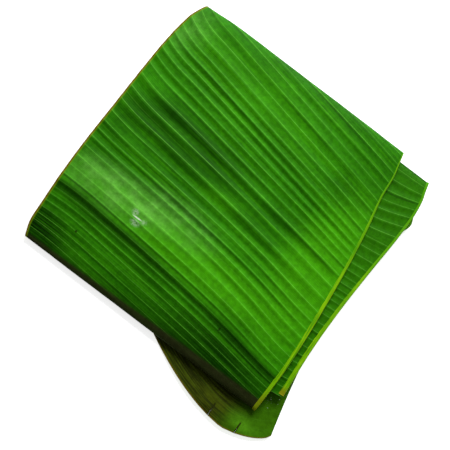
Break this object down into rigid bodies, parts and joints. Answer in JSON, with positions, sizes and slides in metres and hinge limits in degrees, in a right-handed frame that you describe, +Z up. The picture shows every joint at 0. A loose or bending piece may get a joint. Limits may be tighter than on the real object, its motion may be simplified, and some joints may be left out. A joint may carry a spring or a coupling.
{
  "type": "folded banana leaf",
  "caption": "Half blade of a fresh banana leaf, cut along its midrib and rolled flat into a four-layer packet with ribbed veins, a rounded tip and a cut end.",
  "frame": {"origin": "centre of the packet's footprint, on the surface it rests on", "axes": "+Z up through the layers; +X towards the cut midrib edge; +Y towards the top fold"},
  "size_m": [0.329, 0.3617, 0.0184],
  "materials": {
    "leaf": "waxy mid green with paler veins, satin"
  },
  "bodies": {
    "root": {"banana_leaf": "leaf"}
  },
  "joints": []
}
